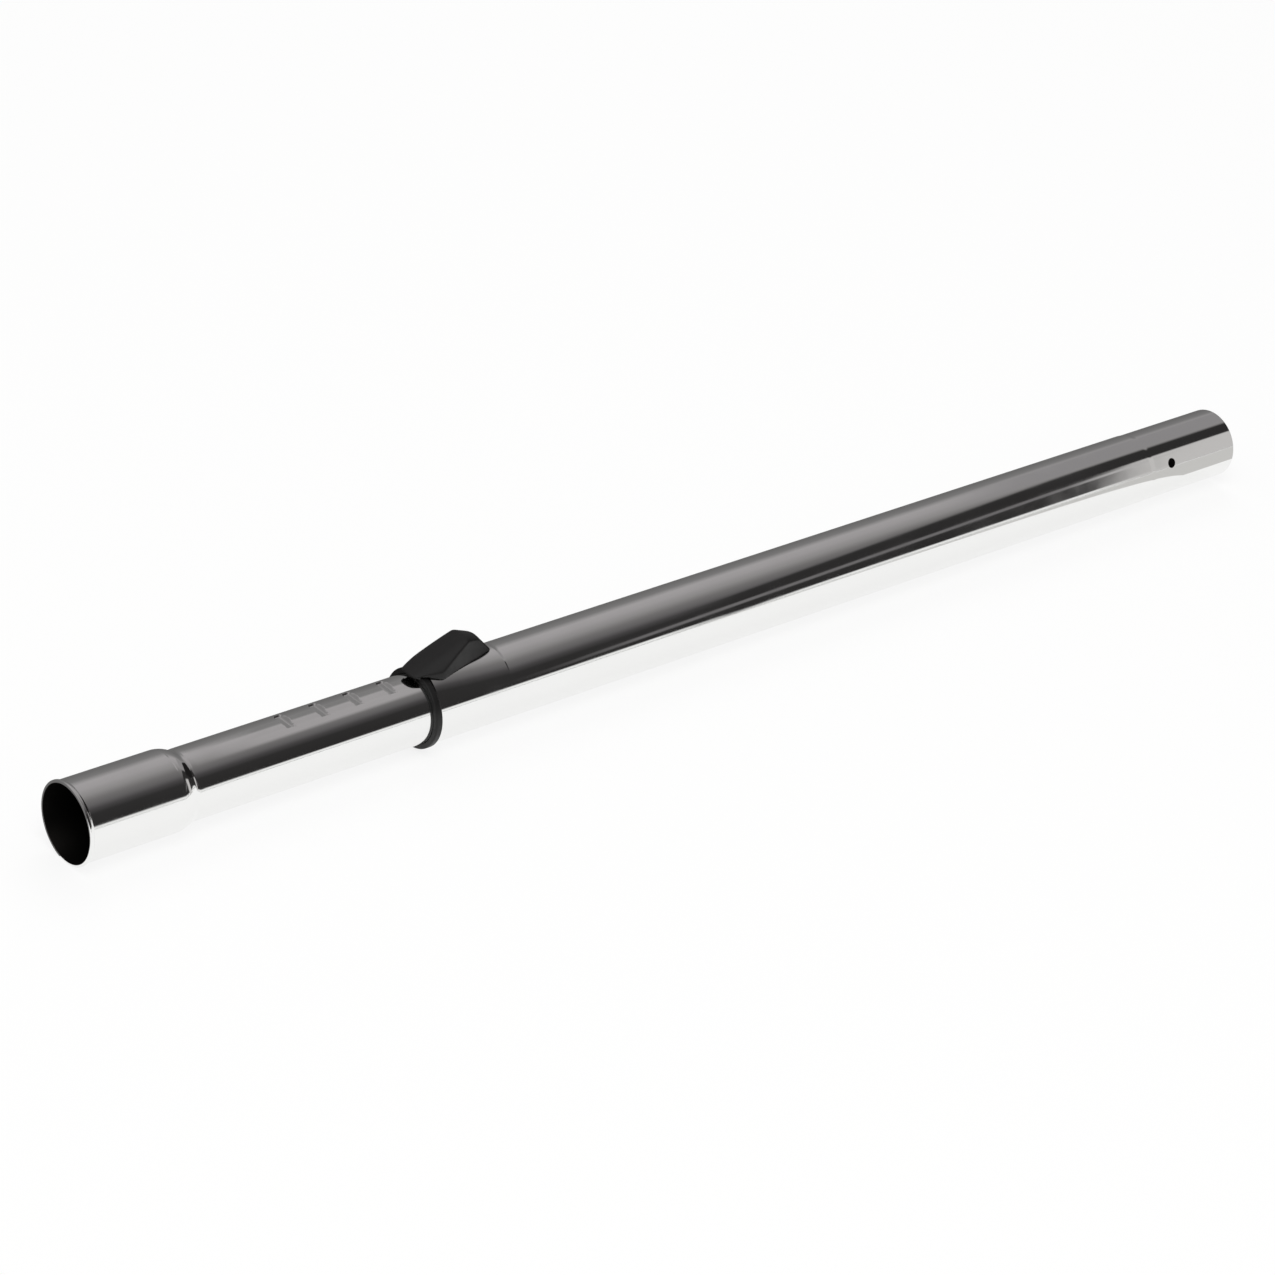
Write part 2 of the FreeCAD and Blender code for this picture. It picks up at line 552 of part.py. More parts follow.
def make_slide_button():
    """Moulded slide button: a leaf-shaped hood over the lock, with cam slots in its cheeks."""
    hood = shared(
        "button_hood",
        make_hood_plan(),
        ridge_bar("hood_ramp", HOOD_FRONT, HOOD_FRONT_TOP, HOOD_CREST, HOOD_CREST_TOP),
        ridge_bar("hood_crest", HOOD_CREST, HOOD_CREST_TOP, HOOD_SLOPE, HOOD_SLOPE_TOP),
        ridge_bar("hood_slope", HOOD_SLOPE, HOOD_SLOPE_TOP, HOOD_TAIL, HOOD_TAIL_TOP),
    )
    sweep_front = (
        f"({TUBE_FRONT} - sizes.button_stroke - sizes.button_gap"
        f" - ({BULGE_R} + sizes.button_gap) * {BULGE_SLOPE})"
    )
    ring_room = bar_x("ring_room", f"{RING_R} + sizes.button_gap", f"{HOOD_FRONT} - {OVERRUN}",
                      f"{TUBE_FRONT} + sizes.button_gap - {HOOD_FRONT} + {OVERRUN}")
    tube_room = bar_x("tube_room", f"{OUTER_R} + sizes.button_gap", TUBE_FRONT,
                      f"{HOOD_TAIL} - {TUBE_FRONT} + {OVERRUN}")
    bulge_room = bulge_bar("bulge_room", f"{BULGE_R} + sizes.button_gap", sweep_front,
                           f"{HOOD_TAIL} - {sweep_front} + {OVERRUN}")
    tower_bay = block("tower_bay", f"{TOWER_FRONT} - sizes.button_stroke - sizes.button_gap",
                      f"{TOWER_BACK} + sizes.cheek_rest", BAY_HALF, "0",
                      f"{TOWER_TOP} + sizes.button_cover")
    spring_room = "(sizes.spring_od / 2 + sizes.button_gap)"
    spring_bay = block("spring_bay", SPRING_FRONT, TOWER_FRONT,
                       f"sizes.spring_half_gap + {spring_room}", "0", f"{SPRING_Z} + {spring_room}")
    rooms = joined("button_rooms", ring_room, tube_room, bulge_room, tower_bay, spring_bay,
                   *make_cam_slots())
    return cut("slide_button", hood, rooms)


def ring(name, start, length, inner, outer):
    """Plain ring around the inner tube."""
    end = f"{start} + {length}"
    return turned(name, ((start, inner), (start, outer), (end, outer), (end, inner)))


def make_stop_bush():
    """Bush clipped to the inner tube's hidden end: it guides the tube and stops it from coming out."""
    sleeve = ring("bush_sleeve", BUSH_FRONT, "sizes.bush_length", f"{INNER_R} + sizes.seat_gap",
                  f"{OUTER_BORE_R} - sizes.slide_gap")
    middle = f"{BUSH_FRONT} + sizes.bush_length / 2"
    bar = bar_y("nub_bar", "sizes.nub_d / 2", f"{INNER_R} + 2 * sizes.seat_gap", middle, "0")
    gap = bar_y("nub_gap", "sizes.nub_d", f"{INNER_R} - sizes.nub_reach", middle, "0")
    return joined("stop_bush", sleeve, cut("nubs", bar, gap))


def make_seal_ring():
    """Felt ring that closes the gap between the tubes."""
    return ring("seal_ring", SEAL_FRONT, "sizes.seal_width", f"{INNER_R} + sizes.seat_gap",
                f"{OUTER_BORE_R} - sizes.slide_gap / 2")


def check_document():
    for item in doc.Objects:
        if "Invalid" in item.State or "Error" in item.State:
            raise RuntimeError(f"{item.Name} failed: {item.State}")


def main():
    pieces = [
        make_outer_tube(),
        make_guide_sleeve(),
        make_lock_body(),
        make_slide_button(),
        make_locking_bolt(),
        make_cam_pin(),
        *make_return_springs(),
        make_inner_tube(),
        make_stop_bush(),
        make_seal_ring(),
    ]
    doc.recompute()
    check_document()
    for piece in pieces:
        piece.Label = piece.Name
        shape = piece.Shape
        if shape.isNull() or not shape.isValid() or len(shape.Solids) != 1:
            raise RuntimeError(f"{piece.Label} isn't one valid solid")
    os.makedirs("parts", exist_ok=True)
    for piece in pieces:
        piece.Shape.exportStep(f"parts/{piece.Label}.step")


main()
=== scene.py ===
import math

import bmesh
import bpy
from bpy.props import FloatProperty, FloatVectorProperty, IntProperty, PointerProperty
from bpy.types import Operator, Panel, PropertyGroup
from mathutils import Euler, Matrix, Vector


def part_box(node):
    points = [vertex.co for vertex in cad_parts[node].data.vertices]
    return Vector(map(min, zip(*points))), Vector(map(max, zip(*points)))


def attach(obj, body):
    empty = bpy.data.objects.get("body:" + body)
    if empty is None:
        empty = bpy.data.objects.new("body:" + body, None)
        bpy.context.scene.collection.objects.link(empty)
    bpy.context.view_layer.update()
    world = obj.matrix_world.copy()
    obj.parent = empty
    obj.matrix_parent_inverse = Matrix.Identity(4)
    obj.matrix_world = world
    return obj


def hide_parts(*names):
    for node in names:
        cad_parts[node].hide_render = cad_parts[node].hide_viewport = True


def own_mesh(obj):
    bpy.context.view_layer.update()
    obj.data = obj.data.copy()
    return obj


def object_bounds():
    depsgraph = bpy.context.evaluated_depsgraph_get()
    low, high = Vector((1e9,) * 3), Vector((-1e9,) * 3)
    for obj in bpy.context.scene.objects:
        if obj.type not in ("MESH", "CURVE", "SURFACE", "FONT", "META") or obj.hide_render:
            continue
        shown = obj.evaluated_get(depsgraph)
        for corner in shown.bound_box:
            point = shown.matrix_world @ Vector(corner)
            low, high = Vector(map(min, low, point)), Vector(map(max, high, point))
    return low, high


bl_info = {
    "name": "Telescopic vacuum wand",
    "version": (1, 0, 0),
    "blender": (4, 5, 0),
    "location": "3D View > Sidebar > Wand",
    "description": "Chromed tubes, moulded lock and studio around the frame of a telescopic wand",
    "category": "Add Mesh",
}

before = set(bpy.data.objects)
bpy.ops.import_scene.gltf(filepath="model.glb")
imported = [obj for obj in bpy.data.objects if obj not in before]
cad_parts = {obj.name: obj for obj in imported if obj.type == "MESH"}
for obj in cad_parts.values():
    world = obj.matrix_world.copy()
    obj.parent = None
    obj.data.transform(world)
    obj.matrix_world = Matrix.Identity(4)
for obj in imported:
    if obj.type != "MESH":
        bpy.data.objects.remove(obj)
cad_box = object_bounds()

MM = 0.001
INNER_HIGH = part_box("inner_tube")[1]
OUTER_LOW, OUTER_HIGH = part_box("outer_tube")
SLEEVE_LOW, SLEEVE_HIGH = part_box("guide_sleeve")
BOLT_LOW, BOLT_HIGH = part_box("locking_bolt")
BUTTON_LOW, BUTTON_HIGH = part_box("slide_button")


def srgb(text):
    """Linear colour of an sRGB hex value such as #1a1b1c."""
    channels = [int(text[i:i + 2], 16) / 255 for i in (1, 3, 5)]
    return tuple(c / 12.92 if c <= 0.04045 else ((c + 0.055) / 1.055) ** 2.4 for c in channels)


def length(name, description, default):
    """Property that holds a length, in metres."""
    return FloatProperty(name=name, description=description, default=default, unit="LENGTH",
                         subtype="DISTANCE", precision=5)


def colour(name, description, text):
    """Property that holds a colour, given as an sRGB hex value."""
    return FloatVectorProperty(name=name, description=description, default=srgb(text), size=3,
                               subtype="COLOR", min=0.0, max=1.0)


class TubeSizes(PropertyGroup):
    """Sizes of the two chromed tubes."""

    wall: length("Wall", "Sheet thickness of both tubes", 0.7 * MM)
    inner_radius: length("Inner tube", "Radius of the inner tube", 16.0 * MM)
    outer_radius: length("Outer tube", "Radius of the outer tube", 17.5 * MM)
    socket_radius: length("Socket", "Bore that takes the hose handle", 17.5 * MM)
    socket_depth: length("Socket depth", "Straight length of the socket", 50.0 * MM)
    shoulder: length("Shoulder", "Run from the socket down to the neck", 5.0 * MM)
    neck_depth: length("Neck depth", "Pressed neck below the tube's radius", 0.15 * MM)
    neck_run: length("Neck run", "Run from the neck back to the tube's radius", 2.5 * MM)
    shoulder_round: length("Shoulder rounding", "Rounding of the shoulder", 2.5 * MM)
    neck_round: length("Neck rounding", "Rounding of the neck", 1.6 * MM)
    lip_width: length("Lip", "Length of the socket's flared lip", 1.5 * MM)
    lip_round: length("Lip rounding", "Rounding of the lip", 0.65 * MM)
    lip_root: length("Lip root", "Rounding between lip and socket", 0.5 * MM)
    mouth_break: length("Mouth", "Rounding of the mouth's inner edge", 0.3 * MM)
    flare_width: length("Flare", "Length of the flare at the hidden end", 1.2 * MM)
    flare_radius: length("Flare radius", "Radius of the flare at the hidden end", 16.5 * MM)
    spigot_radius: length("Spigot", "Radius of the drawn-down nozzle end", 17.3 * MM)
    spigot_length: length("Spigot length", "Length of the drawn-down nozzle end", 58.0 * MM)
    spigot_taper: length("Spigot taper", "Run from the tube's radius to the spigot's", 2.0 * MM)
    taper_round: length("Taper rounding", "Rounding of that run", 0.8 * MM)
    end_break: length("End", "Rounding of the nozzle end's edge", 0.2 * MM)
    latch_radius: length("Latch hole", "Radius of the hole for the nozzle's latch", 2.5 * MM)
    latch_from_end: length("Latch place", "Latch hole to the nozzle end", 45.6 * MM)
    latch_turn: FloatProperty(name="Latch turn", description="Latch hole's turn from the top",
                              default=math.radians(66.0), subtype="ANGLE")


class NotchSizes(PropertyGroup):
    """Sizes of the pressed row of notches."""

    first: length("First notch", "First notch from the mouth of the socket", 108.6 * MM)
    pitch: length("Pitch", "Step between two notches", 18.0 * MM)
    count: IntProperty(name="Count", description="Notches in the row", default=25, min=1)
    depth: length("Depth", "Depth of a notch below the tube's top", 1.6 * MM)
    width_half: length("Width", "Half length of a notch across the tube", 4.95 * MM)
    end_run: length("Ends", "Run of a notch's ends, up to the tube's skin", 0.5 * MM)
    floor_half: length("Floor", "Half length of a notch's flat bottom", 1.2 * MM)
    mouth_half: length("Mouth", "Half length of a notch's mouth", 2.6 * MM)
    softness: length("Softness", "Rounding of a notch's pressed rim", 0.15 * MM)


class LockSizes(PropertyGroup):
    """Sizes of the bulge, the end ring, the springs and the button."""

    bulge_radius: length("Bulge radius", "Radius of the pressed bulge over the lock", 15.0 * MM)
    bulge_rise: length("Bulge rise", "Bulge above the outer tube, at the end ring", 2.2 * MM)
    bulge_end_rise: length("Bulge end", "Bulge above the outer tube, at its far end", 0.6 * MM)
    bulge_length: length("Bulge length", "Bulge along the wand", 39.5 * MM)
    bulge_run: length("Bulge run", "Run from the bulge's far end down to the tube", 3.0 * MM)
    bulge_softness: length("Bulge softness", "Rounding where the bulge meets the tube", 1.0 * MM)
    ring_width: length("Ring", "End ring along the wand", 3.6 * MM)
    ring_round: length("Ring rounding", "Rounding of the end ring", 0.8 * MM)
    liner_radius: length("Liner", "Radius of the sleeve inside the outer tube", 16.77 * MM)
    guide_radius: length("Guide", "Bore of the sleeve around the inner tube", 16.08 * MM)
    bore_break: length("Bore edge", "Rounding of the sleeve's bore at the ring", 0.3 * MM)
    tower_lead: length("Tower front", "Bolt to the front of its guide tower", 1.15 * MM)
    tower_tail: length("Tower tail", "Bolt to the rear of its guide tower", 2.55 * MM)
    tower_half: length("Tower", "Half width of the bolt's guide tower", 4.35 * MM)
    window_play: length("Window play", "Room around the lock in the tube's window", 0.15 * MM)
    nose_play: length("Nose play", "Room around the bolt in the sleeve's window", 0.35 * MM)
    spring_wire: length("Spring wire", "Thickness of the return springs' wire", 0.4 * MM)
    spring_turns: IntProperty(name="Spring turns", description="Turns of a return spring",
                              default=3, min=1)
    button_stroke: length("Stroke", "Way of the button against its springs", 4.0 * MM)
    button_grid: length("Button grid", "Step of the button's even mesh", 0.25 * MM)
    button_passes: IntProperty(name="Button passes", description="Passes that soften the button's outside",
                               default=30, min=0)


class FinishColours(PropertyGroup):
    """Colours of the finishes."""

    chrome: colour("Chrome", "Bright chrome plate", "#f2f2f1")
    black: colour("Black plastic", "Moulded black plastic", "#131212")
    bore: colour("Bore", "Unplated and oiled bore of the tubes", "#2b2927")
    natural: colour("Natural plastic", "Unpainted acetal of the hidden guides", "#d9d6cb")
    steel: colour("Plain steel", "Turned and ground steel", "#b4b2ae")
    spring: colour("Spring steel", "Drawn spring wire", "#8d8a86")
    felt: colour("Felt", "Pressed wool felt", "#6a6762")
    floor: colour("Floor", "Pale studio floor", "#f4f4f3")


class StudioSizes(PropertyGroup):
    """Camera, tent of painted reflections, floor and soft light."""

    camera_place: FloatVectorProperty(name="Camera", description="Place of the camera", unit="LENGTH",
                                      subtype="TRANSLATION", default=(-0.77592, -1.27487, 0.71533))
    camera_pitch: FloatProperty(name="Pitch", description="Camera's tilt below the horizon",
                                default=math.radians(23.218), subtype="ANGLE")
    camera_heading: FloatProperty(name="Heading", description="Camera's turn from +Y towards +X",
                                  default=math.radians(40.344), subtype="ANGLE")
    wand_turn: FloatProperty(name="Turn", description="Camera's turn about the wand, towards the lock",
                             default=math.radians(8.0), subtype="ANGLE")
    lens: FloatProperty(name="Lens", description="Focal length on a 36 mm sensor, in millimetres",
                        default=112.94, min=1.0)
    floor_side: length("Floor", "Side of the square floor", 12.0)
    tent_radius: length("Tent radius", "Radius of the light tent along the wand", 1.6)
    tent_length: length("Tent length", "Length of the light tent", 9.0)
    paper_glow: FloatProperty(name="Paper glow", description="Share of the floor seen as plain white",
                              default=0.82, min=0.0, max=1.0, subtype="FACTOR")
    air_strength: FloatProperty(name="Air", description="Strength of the soft light from all around",
                                default=0.55, min=0.0)


def add_node(tree, kind, inputs=None, **settings):
    """One node with its settings; an input is given a value or another node's output."""
    node = tree.nodes.new(kind)
    for name, value in settings.items():
        setattr(node, name, value)
    for name, value in (inputs or {}).items():
        if isinstance(value, bpy.types.NodeSocket):
            tree.links.new(value, node.inputs[name])
        else:
            node.inputs[name].default_value = value
    return node


def new_material(name):
    """Empty material and its tree."""
    material = bpy.data.materials.new(name)
    material.use_nodes = True
    material.node_tree.nodes.clear()
    return material, material.node_tree


def opaque(rgb):
    """Colour with full cover, as a socket takes it."""
    return (*rgb, 1.0)


def bright_chrome_plate(rgb):
    """Chrome plate over drawn tube: a mirror with faint lines along the tube and soft smears."""
    material, tree = new_material("bright_chrome_plate")
    place = add_node(tree, "ShaderNodeTexCoord").outputs["Object"]
    # Polishing lines are about 0.4 mm apart and 60 mm long.
    lines_place = add_node(tree, "ShaderNodeMapping",
                           {"Vector": place, "Scale": (1 / 60 / MM, 1 / 0.4 / MM, 1 / 0.4 / MM)})
    lines = add_node(tree, "ShaderNodeTexNoise",
                     {"Vector": lines_place.outputs["Vector"], "Scale": 1.0, "Detail": 2.0})
    # Smears from handling are about 25 mm across.
    smears = add_node(tree, "ShaderNodeTexNoise",
                      {"Vector": place, "Scale": 1 / 25 / MM, "Detail": 3.0, "Roughness": 0.6})
    gloss = add_node(tree, "ShaderNodeMapRange",
                     {"Value": smears.outputs["Fac"], "From Min": 0.35, "From Max": 0.7,
                      "To Min": 0.05, "To Max": 0.11})
    relief = add_node(tree, "ShaderNodeBump",
                      {"Height": lines.outputs["Fac"], "Strength": 0.05, "Distance": 0.02 * MM})
    shader = add_node(tree, "ShaderNodeBsdfPrincipled",
                      {"Base Color": opaque(rgb), "Metallic": 1.0,
                       "Roughness": gloss.outputs["Result"], "Normal": relief.outputs["Normal"]})
    add_node(tree, "ShaderNodeOutputMaterial", {"Surface": shader.outputs["BSDF"]})
    return material


def oiled_steel_bore(rgb):
    """Unplated bore of a drawn tube: dark, dull steel under a film of drawing oil."""
    material, tree = new_material("oiled_steel_bore")
    place = add_node(tree, "ShaderNodeTexCoord").outputs["Object"]
    # The oil has dried in patches of about 12 mm.
    oil = add_node(tree, "ShaderNodeTexNoise", {"Vector": place, "Scale": 1 / 12 / MM, "Detail": 3.0})
    gloss = add_node(tree, "ShaderNodeMapRange",
                     {"Value": oil.outputs["Fac"], "To Min": 0.45, "To Max": 0.65})
    shader = add_node(tree, "ShaderNodeBsdfPrincipled",
                      {"Base Color": opaque(rgb), "Metallic": 1.0, "Roughness": gloss.outputs["Result"]})
    add_node(tree, "ShaderNodeOutputMaterial", {"Surface": shader.outputs["BSDF"]})
    return material


def moulded_black_abs(rgb):
    """Black ABS from a spark-eroded mould: a satin skin with a fine grain."""
    material, tree = new_material("moulded_black_abs")
    place = add_node(tree, "ShaderNodeTexCoord").outputs["Object"]
    # The mould's grain is about 0.25 mm, drawn at 0.4 mm so that it shows.
    grain = add_node(tree, "ShaderNodeTexNoise", {"Vector": place, "Scale": 1 / 0.4 / MM, "Detail": 2.0})
    # Worn, shinier places are about 8 mm across.
    wear = add_node(tree, "ShaderNodeTexNoise", {"Vector": place, "Scale": 1 / 8 / MM, "Detail": 3.0})
    gloss = add_node(tree, "ShaderNodeMapRange",
                     {"Value": wear.outputs["Fac"], "From Min": 0.3, "From Max": 0.7,
                      "To Min": 0.4, "To Max": 0.55})
    tone = add_node(tree, "ShaderNodeMix",
                    {"Factor": wear.outputs["Fac"], "A": opaque(rgb),
                     "B": opaque(tuple(1.25 * c for c in rgb))}, data_type="RGBA")
    relief = add_node(tree, "ShaderNodeBump",
                      {"Height": grain.outputs["Fac"], "Strength": 0.25, "Distance": 0.05 * MM})
    shader = add_node(tree, "ShaderNodeBsdfPrincipled",
                      {"Base Color": tone.outputs["Result"], "IOR": 1.54, "Specular IOR Level": 0.3,
                       "Roughness": gloss.outputs["Result"], "Normal": relief.outputs["Normal"]})
    add_node(tree, "ShaderNodeOutputMaterial", {"Surface": shader.outputs["BSDF"]})
    return material


def natural_acetal(rgb):
    """Unpainted acetal, machined and waxy: a pale skin that light enters a little."""
    material, tree = new_material("natural_acetal")
    place = add_node(tree, "ShaderNodeTexCoord").outputs["Object"]
    # Flow marks are about 6 mm apart.
    flow = add_node(tree, "ShaderNodeTexNoise", {"Vector": place, "Scale": 1 / 6 / MM, "Detail": 2.0})
    gloss = add_node(tree, "ShaderNodeMapRange",
                     {"Value": flow.outputs["Fac"], "To Min": 0.3, "To Max": 0.45})
    shader = add_node(tree, "ShaderNodeBsdfPrincipled",
                      {"Base Color": opaque(rgb), "IOR": 1.48, "Roughness": gloss.outputs["Result"],
                       "Subsurface Weight": 0.15, "Subsurface Scale": 1.0 * MM})
    add_node(tree, "ShaderNodeOutputMaterial", {"Surface": shader.outputs["BSDF"]})
    return material


def ground_steel(rgb):
    """Turned and ground steel: a dull mirror with fine marks around the piece."""
    material, tree = new_material("ground_steel")
    place = add_node(tree, "ShaderNodeTexCoord").outputs["Object"]
    # Grinding marks are about 0.1 mm, drawn at 0.2 mm so that they show.
    marks = add_node(tree, "ShaderNodeTexNoise", {"Vector": place, "Scale": 1 / 0.2 / MM, "Detail": 3.0})
    gloss = add_node(tree, "ShaderNodeMapRange",
                     {"Value": marks.outputs["Fac"], "To Min": 0.25, "To Max": 0.4})
    shader = add_node(tree, "ShaderNodeBsdfPrincipled",
                      {"Base Color": opaque(rgb), "Metallic": 1.0, "Roughness": gloss.outputs["Result"]})
    add_node(tree, "ShaderNodeOutputMaterial", {"Surface": shader.outputs["BSDF"]})
    return material


def drawn_spring_wire(rgb):
    """Drawn spring wire: darker steel with a thin film of oil."""
    material, tree = new_material("drawn_spring_wire")
    place = add_node(tree, "ShaderNodeTexCoord").outputs["Object"]
    # Oil gathers in patches of about 1 mm.
    oil = add_node(tree, "ShaderNodeTexNoise", {"Vector": place, "Scale": 1 / 1.0 / MM, "Detail": 2.0})
    gloss = add_node(tree, "ShaderNodeMapRange",
                     {"Value": oil.outputs["Fac"], "To Min": 0.2, "To Max": 0.35})
    shader = add_node(tree, "ShaderNodeBsdfPrincipled",
                      {"Base Color": opaque(rgb), "Metallic": 1.0, "Roughness": gloss.outputs["Result"]})
    add_node(tree, "ShaderNodeOutputMaterial", {"Surface": shader.outputs["BSDF"]})
    return material


def pressed_wool_felt(rgb):
    """Pressed wool felt: a matt mat of short fibres."""
    material, tree = new_material("pressed_wool_felt")
    place = add_node(tree, "ShaderNodeTexCoord").outputs["Object"]
    # Tufts of fibre are about 0.5 mm across.
    fibres = add_node(tree, "ShaderNodeTexNoise", {"Vector": place, "Scale": 1 / 0.5 / MM, "Detail": 5.0})
    tone = add_node(tree, "ShaderNodeMix",
                    {"Factor": fibres.outputs["Fac"], "A": opaque(tuple(0.7 * c for c in rgb)),
                     "B": opaque(rgb)}, data_type="RGBA")
    relief = add_node(tree, "ShaderNodeBump",
                      {"Height": fibres.outputs["Fac"], "Strength": 0.8, "Distance": 0.2 * MM})
    shader = add_node(tree, "ShaderNodeBsdfPrincipled",
                      {"Base Color": tone.outputs["Result"], "Roughness": 0.95, "Sheen Weight": 0.4,
                       "Normal": relief.outputs["Normal"]})
    add_node(tree, "ShaderNodeOutputMaterial", {"Surface": shader.outputs["BSDF"]})
    return material


def finish(make, rgb):
    """A finish, made the first time that a piece asks for it and named for its function."""
    return bpy.data.materials.get(make.__name__) or make(tuple(rgb))


def tube_finishes(colours):
    """Finishes of a tube's outside and of its bore."""
    return finish(bright_chrome_plate, colours.chrome), finish(oiled_steel_bore, colours.bore)


# Steps of a full turn and of a rounding, and how close two corners are one.
TURN_STEPS = 180
ROUND_STEPS = 5
MERGE_REACH = 0.001 * MM
# Edges that turn by more than this stay sharp.
CREASE = math.radians(38.0)
# A face belongs to the bore if its normal has more than this share towards the wand's axis.
BORE_SHARE = 0.5


def turned(section, roundings):
    """Closed section of (x, radius) corners, some of them rounded, turned once about the wand's axis."""
    bm = bmesh.new()
    corners = [bm.verts.new((x, 0.0, radius)) for x, radius in section]
    for first, second in zip(corners, corners[1:] + corners[:1]):
        bm.edges.new((first, second))
    for radius, picks in roundings:
        bmesh.ops.bevel(bm, geom=[corners[i] for i in picks], offset=radius, offset_type="OFFSET",
                        segments=ROUND_STEPS, profile=0.5, affect="VERTICES", material=-1,
                        clamp_overlap=True)
    bmesh.ops.spin(bm, geom=bm.verts[:] + bm.edges[:], cent=(0, 0, 0), axis=(1, 0, 0), dvec=(0, 0, 0),
                   angle=2 * math.pi, steps=TURN_STEPS, use_merge=True, use_normal_flip=False,
                   use_duplicate=False)
    bmesh.ops.remove_doubles(bm, verts=bm.verts, dist=MERGE_REACH)
    bmesh.ops.recalc_face_normals(bm, faces=bm.faces)
    return bm


def open_window(bm, start, end, half):
    """Cut a window into the top of a turned wall, between two stations, and close its rim."""
    gone = []
    for face in bm.faces:
        middle = face.calc_center_median()
        if start < middle.x < end and abs(middle.y) < half and middle.z > 0:
            gone.append(face)
    bmesh.ops.delete(bm, geom=gone, context="FACES")
    rim = [edge for edge in bm.edges if edge.is_boundary]
    bmesh.ops.bridge_loops(bm, edges=rim)
    bmesh.ops.recalc_face_normals(bm, faces=bm.faces)


def line_bore(bm):
    """Give the faces that look at the wand's axis the piece's second material."""
    for face in bm.faces:
        middle = face.calc_center_median()
        outwards = Vector((0.0, middle.y, middle.z)).normalized()
        if face.normal.dot(outwards) < -BORE_SHARE:
            face.material_index = 1


def piece_from(bm, name, materials):
    """Object made of a finished mesh."""
    mesh = bpy.data.meshes.new(name)
    bm.to_mesh(mesh)
    bm.free()
    mesh.shade_smooth()
    for material in materials:
        mesh.materials.append(material)
    piece = bpy.data.objects.new(name, mesh)
    bpy.context.scene.collection.objects.link(piece)
    return piece


def keep_result(piece, modifier):
    """Make what a modifier shows the piece's own mesh."""
    graph = bpy.context.evaluated_depsgraph_get()
    piece.data = bpy.data.meshes.new_from_object(piece.evaluated_get(graph))
    piece.modifiers.remove(modifier)


def stand_in(piece, node, body):
    """Shade a piece and let it stand for a CAD node, on the node's body."""
    piece.data.shade_smooth()
    piece.data.set_sharp_from_angle(angle=CREASE)
    # Long runs keep their own direction of shading beside a small rounding.
    shading = piece.modifiers.new("shading", "WEIGHTED_NORMAL")
    shading.keep_sharp = True
    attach(piece, body)
    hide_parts(node)


# Rows of the mesh across a notch's sloping wall, as shares of the way from its floor to its mouth.
NOTCH_ROWS = (-0.35, 0.1, 0.4, 0.7, 1.0, 1.2)


def notch_places(notches):
    """Middle of each notch, from the mouth of the socket."""
    return [notches.first + i * notches.pitch for i in range(notches.count)]


def stations(places, offsets):
    """Every place with every offset added, in order."""
    return [place + offset for place in places for offset in offsets]


def press_notches(bm, notches, radius):
    """Press the wall down at each notch: a flat floor, sloping walls and a soft rim."""
    reach = notches.mouth_half + notches.softness
    for vert in bm.verts:
        step = round((vert.co.x - notches.first) / notches.pitch)
        if vert.co.z <= 0 or not 0 <= step < notches.count:
            continue
        off = abs(vert.co.x - notches.first - step * notches.pitch)
        if off >= reach:
            continue
        along = min(1.0, (reach - off) / (reach - notches.floor_half))
        across = (notches.width_half + notches.end_run - abs(vert.co.y)) / notches.end_run
        share = along * along * (3 - 2 * along) * min(1.0, max(0.0, across))
        # The wall takes the lower of the tube's skin and the notch, with a soft change between them.
        skin = radius * vert.co.z / math.hypot(vert.co.y, vert.co.z)
        gap = radius - notches.depth * share - skin
        soft = notches.softness * math.sqrt(share)
        vert.co.z += 0.5 * (gap - math.hypot(gap, soft))


class WAND_OT_inner_tube(Operator):
    """Turn the inner tube with its handle socket and press its row of notches"""

    bl_idname = "wand.inner_tube"
    bl_label = "Inner tube"

    def execute(self, context):
        sizes = context.scene.wand_tubes
        notches = context.scene.wand_notches
        wall = sizes.wall
        bore = sizes.inner_radius - wall
        lip = INNER_HIGH.y
        collar = sizes.socket_radius + wall
        shoulder_end = sizes.socket_depth + sizes.shoulder
        neck_end = shoulder_end + sizes.neck_run
        flare_start = INNER_HIGH.x - sizes.flare_width
        places = notch_places(notches)
        rise = notches.mouth_half - notches.floor_half
        half_steps = [notches.floor_half + rise * share for share in NOTCH_ROWS]
        outer_steps = [-step for step in reversed(half_steps)] + [0.0] + half_steps
        bore_steps = (-notches.mouth_half, -notches.floor_half, notches.floor_half, notches.mouth_half)
        section = [
            (0.0, sizes.socket_radius),
            (0.0, lip),
            (sizes.lip_width, lip),
            (sizes.lip_width + lip - collar, collar),
            (sizes.socket_depth, collar),
            (shoulder_end, sizes.inner_radius - sizes.neck_depth),
            (neck_end, sizes.inner_radius),
        ]
        section += [(x, sizes.inner_radius) for x in stations(places, outer_steps)]
        section += [
            (flare_start, sizes.inner_radius),
            (flare_start, sizes.flare_radius),
            (INNER_HIGH.x, sizes.flare_radius),
            (INNER_HIGH.x, bore),
        ]
        section += [(x, bore) for x in reversed(stations(places, bore_steps))]
        section += [
            (neck_end, bore),
            (shoulder_end, bore - sizes.neck_depth),
            (sizes.socket_depth, sizes.socket_radius),
        ]
        bm = turned(section, (
            (sizes.mouth_break, (0,)),
            (sizes.lip_round, (1, 2)),
            (sizes.lip_root, (3,)),
            (sizes.shoulder_round, (4,)),
            (sizes.neck_round, (5, 6)),
        ))
        press_notches(bm, notches, sizes.inner_radius)
        bm.normal_update()
        line_bore(bm)
        piece = piece_from(bm, "chromed_inner_tube", tube_finishes(context.scene.wand_colours))
        stand_in(piece, "inner_tube", "inner")
        return {"FINISHED"}


